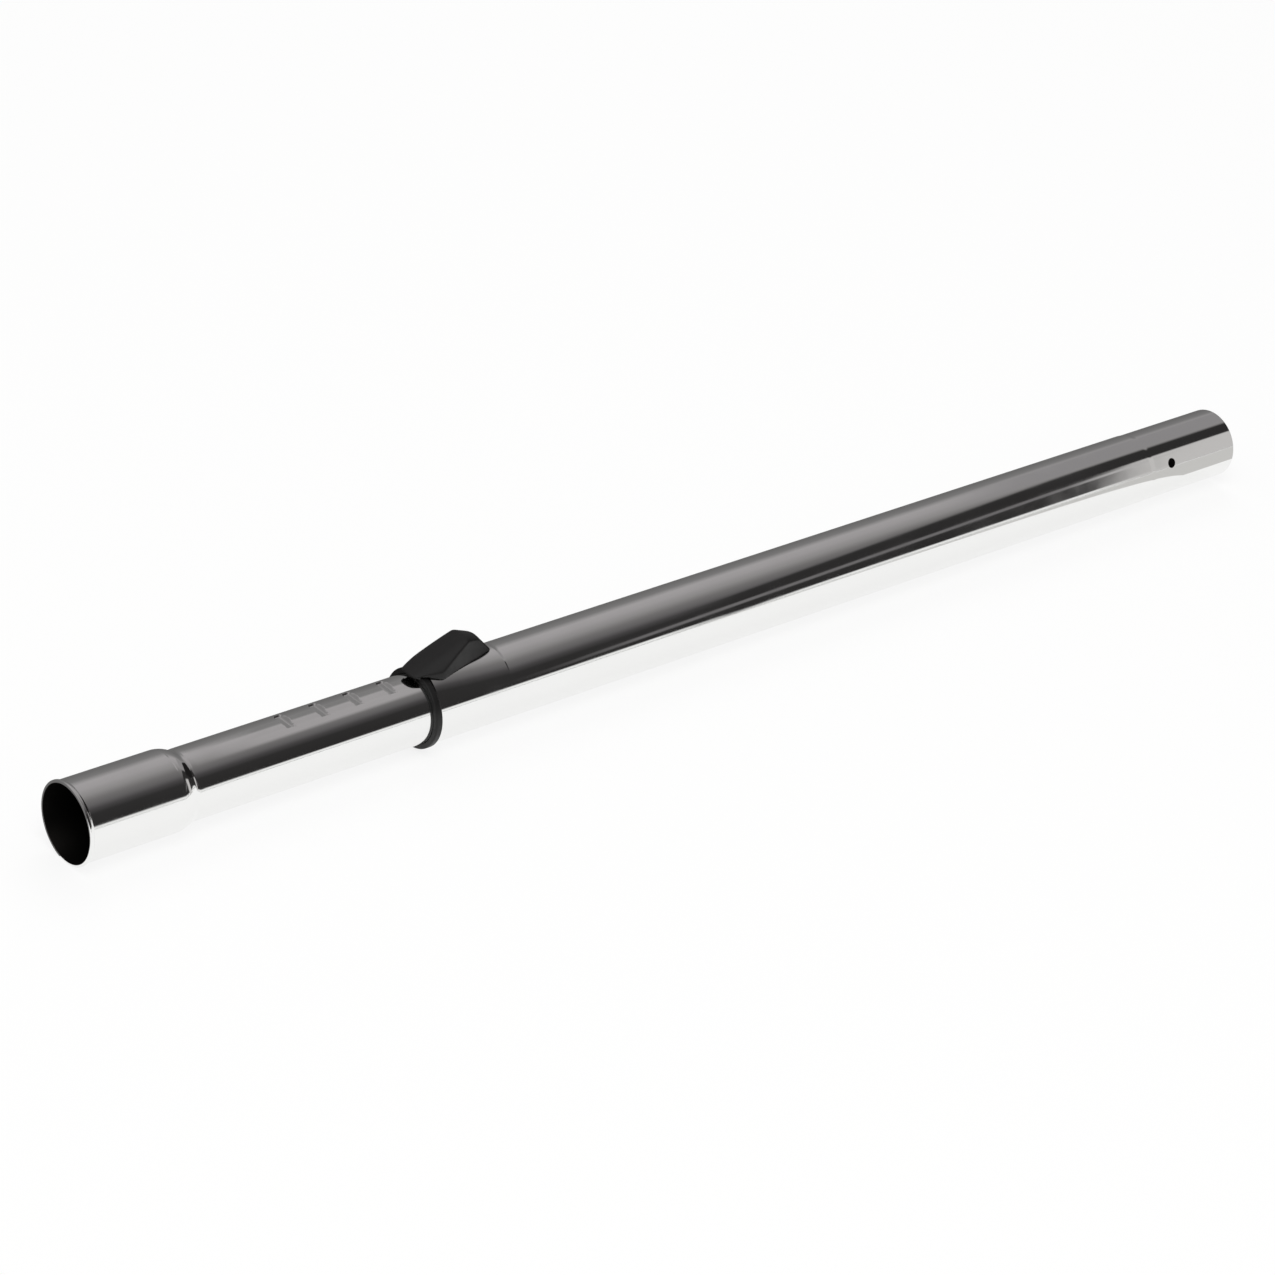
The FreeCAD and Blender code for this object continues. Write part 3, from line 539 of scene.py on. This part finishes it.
# Rows of the mesh along the bulge and along its run down, and sides of the drill.
BULGE_ROWS = 14
RUN_ROWS = 5
DRILL_SIDES = 48


def raise_bulge(bm, lock, radius):
    """Lift the wall over the lock, most at the end ring and with a short run down at the far end."""
    start = OUTER_LOW.x
    end = start + lock.bulge_length
    soft = lock.bulge_softness
    for vert in bm.verts:
        x, y, z = vert.co
        if z <= 0 or x > end + lock.bulge_run:
            continue
        share = (x - start) / lock.bulge_length
        rise = lock.bulge_rise + (lock.bulge_end_rise - lock.bulge_rise) * min(share, 1.0)
        if x > end:
            rise -= (x - end) / lock.bulge_run * (lock.bulge_end_rise + soft)
        own = math.hypot(y, z)
        depth = radius - own
        centre = radius + rise - lock.bulge_radius
        across = y / own
        hump = centre * z / own + math.sqrt(lock.bulge_radius ** 2 - (centre * across) ** 2)
        # The hump fades into the tube within the softness, on either side of where they cross.
        gap = hump - radius
        if gap <= -soft:
            continue
        lift = gap if gap >= soft else (gap + soft) ** 2 / (4 * soft)
        scale = (radius + lift - depth) / own
        vert.co.y *= scale
        vert.co.z *= scale


def drill(piece, radius, place, direction, depth):
    """Drill a round hole into a piece."""
    bm = bmesh.new()
    aim = Matrix.Translation(place) @ direction.to_track_quat("Z", "Y").to_matrix().to_4x4()
    # Half a side's turn keeps the drill's corners off the lines of the piece's mesh.
    aim @= Matrix.Rotation(math.pi / DRILL_SIDES, 4, "Z")
    bmesh.ops.create_cone(bm, cap_ends=True, segments=DRILL_SIDES, radius1=radius, radius2=radius,
                          depth=2 * depth, matrix=aim)
    mesh = bpy.data.meshes.new("drill")
    bm.to_mesh(mesh)
    bm.free()
    cutter = bpy.data.objects.new("drill", mesh)
    bpy.context.scene.collection.objects.link(cutter)
    cut = piece.modifiers.new("hole", "BOOLEAN")
    cut.operation = "DIFFERENCE"
    cut.solver = "EXACT"
    cut.object = cutter
    faces_before = len(piece.data.polygons)
    keep_result(piece, cut)
    bpy.data.objects.remove(cutter)
    if len(piece.data.polygons) == faces_before:
        raise RuntimeError(f"the drill cut nothing out of {piece.name}")


class WAND_OT_outer_tube(Operator):
    """Turn the outer tube, raise the bulge over the lock and cut its openings"""

    bl_idname = "wand.outer_tube"
    bl_label = "Outer tube"

    def execute(self, context):
        sizes = context.scene.wand_tubes
        lock = context.scene.wand_lock
        start = OUTER_LOW.x
        end = OUTER_HIGH.x
        bore = sizes.outer_radius - sizes.wall
        window_start = BOLT_LOW.x - lock.tower_lead - lock.window_play
        window_end = BOLT_HIGH.x + lock.tower_tail + lock.window_play
        bulge_end = start + lock.bulge_length
        spigot_start = end - sizes.spigot_length
        bulge_steps = [start + lock.bulge_length * i / BULGE_ROWS for i in range(1, BULGE_ROWS)]
        bulge_steps += [bulge_end + lock.bulge_run * i / RUN_ROWS for i in range(RUN_ROWS + 1)]
        bulge_steps += [window_start, window_end]
        bulge_steps.sort()
        latch = end - sizes.latch_from_end
        # Two rows keep the faces around the latch hole short.
        latch_steps = [latch - 2 * sizes.latch_radius, latch + 2 * sizes.latch_radius]
        section = [(start, bore), (start, sizes.outer_radius)]
        section += [(x, sizes.outer_radius) for x in bulge_steps]
        taper = len(section)
        section += [(spigot_start - sizes.spigot_taper, sizes.outer_radius),
                    (spigot_start, sizes.spigot_radius)]
        section += [(x, sizes.spigot_radius) for x in latch_steps]
        rim = len(section)
        section += [(end, sizes.spigot_radius), (end, bore)]
        section += [(x, bore) for x in reversed(bulge_steps + latch_steps)]
        bm = turned(section, (
            (sizes.taper_round, (taper, taper + 1)),
            (sizes.end_break, (rim, rim + 1)),
        ))
        raise_bulge(bm, lock, sizes.outer_radius)
        open_window(bm, window_start, window_end, lock.tower_half + lock.window_play)
        line_bore(bm)
        piece = piece_from(bm, "chromed_outer_tube", tube_finishes(context.scene.wand_colours))
        outwards = Vector((0.0, -math.sin(sizes.latch_turn), math.cos(sizes.latch_turn)))
        place = Vector((latch, 0.0, 0.0)) + outwards * sizes.outer_radius
        drill(piece, sizes.latch_radius, place, outwards, 4 * sizes.wall)
        stand_in(piece, "outer_tube", "outer")
        return {"FINISHED"}


class WAND_OT_guide_sleeve(Operator):
    """Turn the moulded sleeve whose ring closes the outer tube's end"""

    bl_idname = "wand.guide_sleeve"
    bl_label = "Guide sleeve"

    def execute(self, context):
        lock = context.scene.wand_lock
        start = SLEEVE_LOW.x
        end = SLEEVE_HIGH.x
        ring_end = start + lock.ring_width
        window_start = BOLT_LOW.x - lock.nose_play
        window_end = BOLT_HIGH.x + lock.nose_play
        section = [
            (start, lock.guide_radius),
            (start, SLEEVE_HIGH.y),
            (ring_end, SLEEVE_HIGH.y),
            (ring_end, lock.liner_radius),
            (window_start, lock.liner_radius),
            (window_end, lock.liner_radius),
            (end, lock.liner_radius),
            (end, lock.guide_radius),
            (window_end, lock.guide_radius),
            (window_start, lock.guide_radius),
        ]
        bm = turned(section, (
            (lock.bore_break, (0,)),
            (lock.ring_round, (1, 2)),
        ))
        open_window(bm, window_start, window_end, BOLT_HIGH.y + lock.nose_play)
        black = finish(moulded_black_abs, context.scene.wand_colours.black)
        piece = piece_from(bm, "moulded_guide_sleeve", (black,))
        stand_in(piece, "guide_sleeve", "outer")
        return {"FINISHED"}


class WAND_OT_slide_button(Operator):
    """Soften the outside of the slide button as its mould does"""

    bl_idname = "wand.slide_button"
    bl_label = "Slide button"

    def execute(self, context):
        lock = context.scene.wand_lock
        bm = bmesh.new()
        bm.from_mesh(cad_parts["slide_button"].data)
        bmesh.ops.remove_doubles(bm, verts=bm.verts, dist=MERGE_REACH)
        black = finish(moulded_black_abs, context.scene.wand_colours.black)
        piece = piece_from(bm, "moulded_slide_button", (black,))
        # On an even grid the passes soften every outer edge alike, and the rooms inside stay as they are.
        grid = piece.modifiers.new("grid", "REMESH")
        grid.mode = "VOXEL"
        grid.voxel_size = lock.button_grid
        keep_result(piece, grid)

        bm = bmesh.new()
        bm.from_mesh(piece.data)
        heart = Vector(((BUTTON_LOW.x + BUTTON_HIGH.x) / 2, 0.0, BUTTON_LOW.z))
        outside = [vert for vert in bm.verts if vert.normal.dot(vert.co - heart) > 0]
        for _ in range(lock.button_passes):
            bmesh.ops.smooth_vert(bm, verts=outside, factor=0.5, use_axis_x=True, use_axis_y=True,
                                  use_axis_z=True)
        bm.to_mesh(piece.data)
        bm.free()
        stand_in(piece, "slide_button", "button")
        return {"FINISHED"}


# Sides of a spring's wire and steps of one turn.
WIRE_SIDES = 12
COIL_STEPS = 36


def wound(low, high, wire, turns):
    """Round wire wound along the wand, from one end of a box to the other."""
    bm = bmesh.new()
    centre = (low + high) / 2
    start = Matrix.Translation((low.x + wire / 2, centre.y, high.z - wire / 2))
    bmesh.ops.create_circle(bm, cap_ends=False, segments=WIRE_SIDES, radius=wire / 2,
                            matrix=start @ Matrix.Rotation(math.pi / 2, 4, "X"))
    steps = turns * COIL_STEPS
    climb = (high.x - low.x - wire) / steps
    bmesh.ops.spin(bm, geom=bm.verts[:] + bm.edges[:], cent=centre, axis=(1, 0, 0), dvec=(climb, 0, 0),
                   angle=turns * 2 * math.pi, steps=steps, use_merge=False, use_normal_flip=False,
                   use_duplicate=False)
    bmesh.ops.holes_fill(bm, edges=bm.edges, sides=WIRE_SIDES)
    bmesh.ops.recalc_face_normals(bm, faces=bm.faces)
    return bm


class WAND_OT_return_springs(Operator):
    """Wind the two springs that the button presses against the lock"""

    bl_idname = "wand.return_springs"
    bl_label = "Return springs"

    def execute(self, context):
        lock = context.scene.wand_lock
        wire = finish(drawn_spring_wire, context.scene.wand_colours.spring)
        for side in ("left", "right"):
            node = f"return_spring_{side}"
            low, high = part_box(node)
            bm = wound(low, high, lock.spring_wire, lock.spring_turns)
            piece = piece_from(bm, f"wound_return_spring_{side}", (wire,))
            stand_in(piece, node, "outer")
            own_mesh(piece)
        return {"FINISHED"}


# Nodes that keep their CAD shape: node, finish and the colour's name.
HIDDEN_FINISHES = (
    ("lock_body", natural_acetal, "natural"),
    ("stop_bush", natural_acetal, "natural"),
    ("locking_bolt", ground_steel, "steel"),
    ("cam_pin", ground_steel, "steel"),
    ("seal_ring", pressed_wool_felt, "felt"),
)


class WAND_OT_hidden_parts(Operator):
    """Give the lock's rigid inner parts, the bush and the seal their finishes"""

    bl_idname = "wand.hidden_parts"
    bl_label = "Hidden parts"

    def execute(self, context):
        for node, make, name in HIDDEN_FINISHES:
            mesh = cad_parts[node].data
            mesh.materials.clear()
            mesh.materials.append(finish(make, getattr(context.scene.wand_colours, name)))
        return {"FINISHED"}


def seen_directly(tree):
    """One for camera, glossy and transmitted rays and nought for the rest."""
    path = add_node(tree, "ShaderNodeLightPath")
    total = path.outputs["Is Camera Ray"]
    for name in ("Is Glossy Ray", "Is Transmission Ray"):
        total = add_node(tree, "ShaderNodeMath", {0: total, 1: path.outputs[name]}, operation="ADD",
                         use_clamp=True).outputs["Value"]
    return total


def seamless_paper(rgb, glow_share):
    """Seamless white paper: pale and matt, seen as white and still holding the shadow."""
    material, tree = new_material("seamless_paper")
    paper = add_node(tree, "ShaderNodeBsdfDiffuse", {"Color": opaque(rgb)})
    glow = add_node(tree, "ShaderNodeEmission", {"Color": opaque((1, 1, 1)), "Strength": 1.0})
    share = add_node(tree, "ShaderNodeMath", {0: seen_directly(tree), 1: glow_share}, operation="MULTIPLY")
    mix = add_node(tree, "ShaderNodeMixShader", {"Fac": share.outputs["Value"]})
    tree.links.new(paper.outputs["BSDF"], mix.inputs[1])
    tree.links.new(glow.outputs["Emission"], mix.inputs[2])
    add_node(tree, "ShaderNodeOutputMaterial", {"Surface": mix.outputs["Shader"]})
    return material


# Painted reflections: tones of the glowing tent around the wand, which only shiny surfaces show, by the
# turn from the horizon behind it, over the top, to the horizon in front, as a share of the half circle.
PAINTED_REFLECTION_TONES = (
    (0.0, "#6e6d6d"),
    (0.156, "#7c7b7b"),
    (0.266, "#a4a1a2"),
    (0.376, "#a09d9e"),
    (0.486, "#918f8f"),
    (0.576, "#757373"),
    (0.656, "#646263"),
    (0.716, "#484647"),
    (0.786, "#302f2f"),
    (0.957, "#2c2b2b"),
    (0.975, "#f4f4f3"),
)

# Patches of painted reflection on the tent's cloth, which set the chrome's highlights, dark bands, seam
# and pale end at given places along the wand, each a strip that may run askew: its tone, the stations
# where it begins, is full, is full for the last time and ends, the share at its middle at the first and
# last full station, and the half widths, as shares, within which it is full and beyond which it is gone.
PAINTED_REFLECTION_PATCHES = (
    ("#7e7d7d", (0.97, 1.03, 1.2, 1.26), (0.23, 0.23), (0.03, 0.08)),
    ("#a5a2a3", (0.97, 1.03, 1.2, 1.26), (0.475, 0.475), (0.04, 0.12)),
    ("#2e2d2d", (1.5, 1.6, 2.03, 2.05), (0.84, 0.68), (0.125, 0.175)),
    ("#2e2d2d", (2.03, 2.05, 9.0, 9.5), (0.68, 0.68), (0.125, 0.175)),
    ("#8e8c8d", (1.85, 2.0, 9.0, 9.5), (0.36, 0.36), (0.1, 0.16)),
    ("#727071", (1.3, 1.5, 2.0, 2.05), (0.874, 0.768), (0.01, 0.035)),
    ("#c6c4c3", (2.09, 2.13, 3.0, 3.2), (0.86, 0.86), (0.135, 0.165)),
    ("#b6b4b4", (2.03, 2.08, 2.15, 2.2), (0.765, 0.765), (0.01, 0.03)),
    ("#1c1b1b", (2.95, 3.05, 9.0, 9.5), (0.3, 0.3), (0.3, 0.34)),
)


def tent_cloth():
    """Glowing cloth of the tent: painted reflections, which only the chrome and the plastic's gloss show.
    """
    material, tree = new_material("light_tent")
    place = add_node(tree, "ShaderNodeTexCoord").outputs["Object"]
    axes = add_node(tree, "ShaderNodeSeparateXYZ", {"Vector": place})
    back = add_node(tree, "ShaderNodeMath", {0: axes.outputs["Z"], 1: axes.outputs["Y"]},
                    operation="ARCTAN2")
    share = add_node(tree, "ShaderNodeMath", {0: back.outputs["Value"], 1: math.pi}, operation="DIVIDE")
    ramp = add_node(tree, "ShaderNodeValToRGB", {"Fac": share.outputs["Value"]})
    stops = ramp.color_ramp.elements
    while len(stops) < len(PAINTED_REFLECTION_TONES):
        stops.new(1.0)
    for stop, (position, text) in zip(stops, PAINTED_REFLECTION_TONES):
        stop.position = position
        stop.color = opaque(srgb(text))
    cloth = ramp.outputs["Color"]
    for tone, (begin, first, last, end), (first_share, last_share), (full, gone) in PAINTED_REFLECTION_PATCHES:
        middle = add_node(tree, "ShaderNodeMapRange",
                          {"Value": axes.outputs["X"], "From Min": first, "From Max": last,
                           "To Min": first_share, "To Max": last_share}, clamp=False)
        off = add_node(tree, "ShaderNodeMath",
                       {0: share.outputs["Value"], 1: middle.outputs["Result"]}, operation="SUBTRACT")
        off = add_node(tree, "ShaderNodeMath", {0: off.outputs["Value"]}, operation="ABSOLUTE")
        mask = add_node(tree, "ShaderNodeMapRange",
                        {"Value": off.outputs["Value"], "From Min": gone, "From Max": full},
                        interpolation_type="SMOOTHSTEP").outputs["Result"]
        for outside, inside in ((begin, first), (end, last)):
            edge = add_node(tree, "ShaderNodeMapRange",
                            {"Value": axes.outputs["X"], "From Min": outside, "From Max": inside},
                            interpolation_type="SMOOTHSTEP")
            mask = add_node(tree, "ShaderNodeMath", {0: mask, 1: edge.outputs["Result"]},
                            operation="MULTIPLY").outputs["Value"]
        cloth = add_node(tree, "ShaderNodeMix", {"Factor": mask, "A": cloth, "B": opaque(srgb(tone))},
                         data_type="RGBA").outputs["Result"]
    # The cloth glows with the painted reflections; no lamp stands behind it.
    glow = add_node(tree, "ShaderNodeEmission", {"Color": cloth, "Strength": 1.0})
    add_node(tree, "ShaderNodeOutputMaterial", {"Surface": glow.outputs["Emission"]})
    return material


def card_face(name, text):
    """Glowing card, a painted reflection that only the chrome and the plastic's gloss show."""
    material, tree = new_material(name)
    glow = add_node(tree, "ShaderNodeEmission", {"Color": opaque(srgb(text)), "Strength": 1.0})
    add_node(tree, "ShaderNodeOutputMaterial", {"Surface": glow.outputs["Emission"]})
    return material


def only_reflected(piece):
    """Hide a stage piece from the camera, the soft light and the shadows."""
    piece.visible_camera = False
    piece.visible_diffuse = False
    piece.visible_shadow = False


def stage_piece(bm, name, material):
    """Object made of a finished mesh, for the floor, the tent and the cards."""
    piece = piece_from(bm, name, (material,))
    return piece


# Cards of painted reflection on the floor: name, tone, and the corners nearest to and farthest from the
# socket.
PAINTED_REFLECTION_CARDS = (
    # Painted reflection of the wand's shadow on the floor behind it, which darkens the tubes' top edge.
    ("back_card", "#6e6d6d", (-3.0, 0.004), (4.0, 1.6)),
    # Painted reflection of a grey floor in front of the nozzle, which makes the spigot's underside light
    # grey.
    ("nozzle_card", "#cccbc9", (0.675, -0.7), (1.6, -0.032)),
)
CARD_LIFT = 1.0 * MM

# Softboxes: name, place, side and power in watts.
SOFTBOXES = (
    ("key_softbox", (-0.6, -1.2, 2.4), 1.8, 40.0),
    ("fill_softbox", (1.4, 1.4, 2.0), 1.6, 14.0),
)

TENT_STEPS = 64
# Width of the camera's sensor in millimetres.
SENSOR_WIDTH = 36.0


def lay_floor(middle, side, material):
    """Square floor under the wand."""
    bm = bmesh.new()
    bmesh.ops.create_grid(bm, x_segments=1, y_segments=1, size=side / 2, matrix=Matrix.Translation(middle))
    stage_piece(bm, "floor", material)


def hang_tent(middle, radius, run):
    """Half round tent of painted reflections along the wand, closed at both ends."""
    bm = bmesh.new()
    ends = (middle.x - run / 2, middle.x + run / 2)
    rail = [bm.verts.new((x, radius, middle.z)) for x in ends]
    bmesh.ops.spin(bm, geom=rail + [bm.edges.new(rail)], cent=(0, 0, middle.z), axis=(1, 0, 0),
                   dvec=(0, 0, 0), angle=math.pi, steps=TENT_STEPS, use_merge=False,
                   use_normal_flip=False, use_duplicate=False)
    for end in ends:
        hoop = [vert for vert in bm.verts if abs(vert.co.x - end) < MM]
        hoop.sort(key=lambda vert: math.atan2(vert.co.z - middle.z, vert.co.y))
        bm.faces.new(hoop)
    only_reflected(stage_piece(bm, "light_tent", tent_cloth()))


def lay_cards(floor_height):
    """Cards of painted reflection on the floor, which only the chrome shows."""
    height = floor_height + CARD_LIFT
    for name, text, low, high in PAINTED_REFLECTION_CARDS:
        bm = bmesh.new()
        corners = ((low[0], low[1]), (high[0], low[1]), (high[0], high[1]), (low[0], high[1]))
        bm.faces.new([bm.verts.new((x, y, height)) for x, y in corners])
        only_reflected(stage_piece(bm, name, card_face(name, text)))


def add_softboxes(target):
    """Square softboxes aimed at a point."""
    for name, place, side, power in SOFTBOXES:
        lamp = bpy.data.lights.new(name, "AREA")
        lamp.shape = "SQUARE"
        lamp.size = side
        lamp.energy = power
        box = bpy.data.objects.new(name, lamp)
        box.location = place
        box.rotation_euler = (target - Vector(place)).to_track_quat("-Z", "Y").to_euler()
        bpy.context.scene.collection.objects.link(box)


def studio_air(strength):
    """World of plain soft light that is seen as white."""
    world = bpy.data.worlds.new("studio_air")
    world.use_nodes = True
    tree = world.node_tree
    tree.nodes.clear()
    seen = add_node(tree, "ShaderNodeMapRange",
                    {"Value": seen_directly(tree), "To Min": strength, "To Max": 1.0})
    air = add_node(tree, "ShaderNodeBackground",
                   {"Color": opaque((1, 1, 1)), "Strength": seen.outputs["Result"]})
    add_node(tree, "ShaderNodeOutputWorld", {"Surface": air.outputs["Background"]})
    return world


def photo_camera(studio):
    """Camera at the photograph's place, turned about the wand so that the lock shows as it does there."""
    camera = bpy.data.cameras.new("photo_camera")
    camera.sensor_width = SENSOR_WIDTH
    camera.lens = studio.lens
    holder = bpy.data.objects.new("photo_camera", camera)
    aim = Euler((math.pi / 2 - studio.camera_pitch, 0.0, -studio.camera_heading)).to_matrix()
    place = Matrix.Translation(studio.camera_place) @ aim.to_4x4()
    holder.matrix_world = Matrix.Rotation(-studio.wand_turn, 4, "X") @ place
    bpy.context.scene.collection.objects.link(holder)
    return holder


class WAND_OT_stage(Operator):
    """Lay the floor, hang the tent and lay the cards of painted reflections, and set the lamps and the
    camera
    """

    bl_idname = "wand.stage"
    bl_label = "Stage"

    def execute(self, context):
        scene = context.scene
        studio = scene.wand_studio
        middle = Vector((OUTER_HIGH.x / 2, 0.0, cad_box[0][2]))
        paper = seamless_paper(tuple(scene.wand_colours.floor), studio.paper_glow)
        lay_floor(middle, studio.floor_side, paper)
        hang_tent(middle, studio.tent_radius, studio.tent_length)
        lay_cards(middle.z)
        add_softboxes(middle)
        scene.world = studio_air(studio.air_strength)
        scene.camera = photo_camera(studio)
        scene.view_settings.view_transform = "Standard"
        return {"FINISHED"}


OPERATORS = (
    WAND_OT_inner_tube,
    WAND_OT_outer_tube,
    WAND_OT_guide_sleeve,
    WAND_OT_slide_button,
    WAND_OT_return_springs,
    WAND_OT_hidden_parts,
    WAND_OT_stage,
)


class WAND_PT_panel(Panel):
    """Lists the steps that dress the wand"""

    bl_idname = "WAND_PT_panel"
    bl_label = "Telescopic wand"
    bl_space_type = "VIEW_3D"
    bl_region_type = "UI"
    bl_category = "Wand"

    def draw(self, context):
        for operator in OPERATORS:
            self.layout.operator(operator.bl_idname)


GROUPS = (
    ("wand_tubes", TubeSizes),
    ("wand_notches", NotchSizes),
    ("wand_lock", LockSizes),
    ("wand_colours", FinishColours),
    ("wand_studio", StudioSizes),
)


def register():
    for name, group in GROUPS:
        bpy.utils.register_class(group)
        setattr(bpy.types.Scene, name, PointerProperty(type=group))
    for operator in OPERATORS:
        bpy.utils.register_class(operator)
    bpy.utils.register_class(WAND_PT_panel)


def unregister():
    bpy.utils.unregister_class(WAND_PT_panel)
    for operator in reversed(OPERATORS):
        bpy.utils.unregister_class(operator)
    for name, group in reversed(GROUPS):
        delattr(bpy.types.Scene, name)
        bpy.utils.unregister_class(group)


def main():
    register()
    bpy.ops.wand.inner_tube()
    bpy.ops.wand.outer_tube()
    bpy.ops.wand.guide_sleeve()
    bpy.ops.wand.slide_button()
    bpy.ops.wand.return_springs()
    bpy.ops.wand.hidden_parts()
    bpy.ops.wand.stage()


if __name__ == "__main__":
    main()
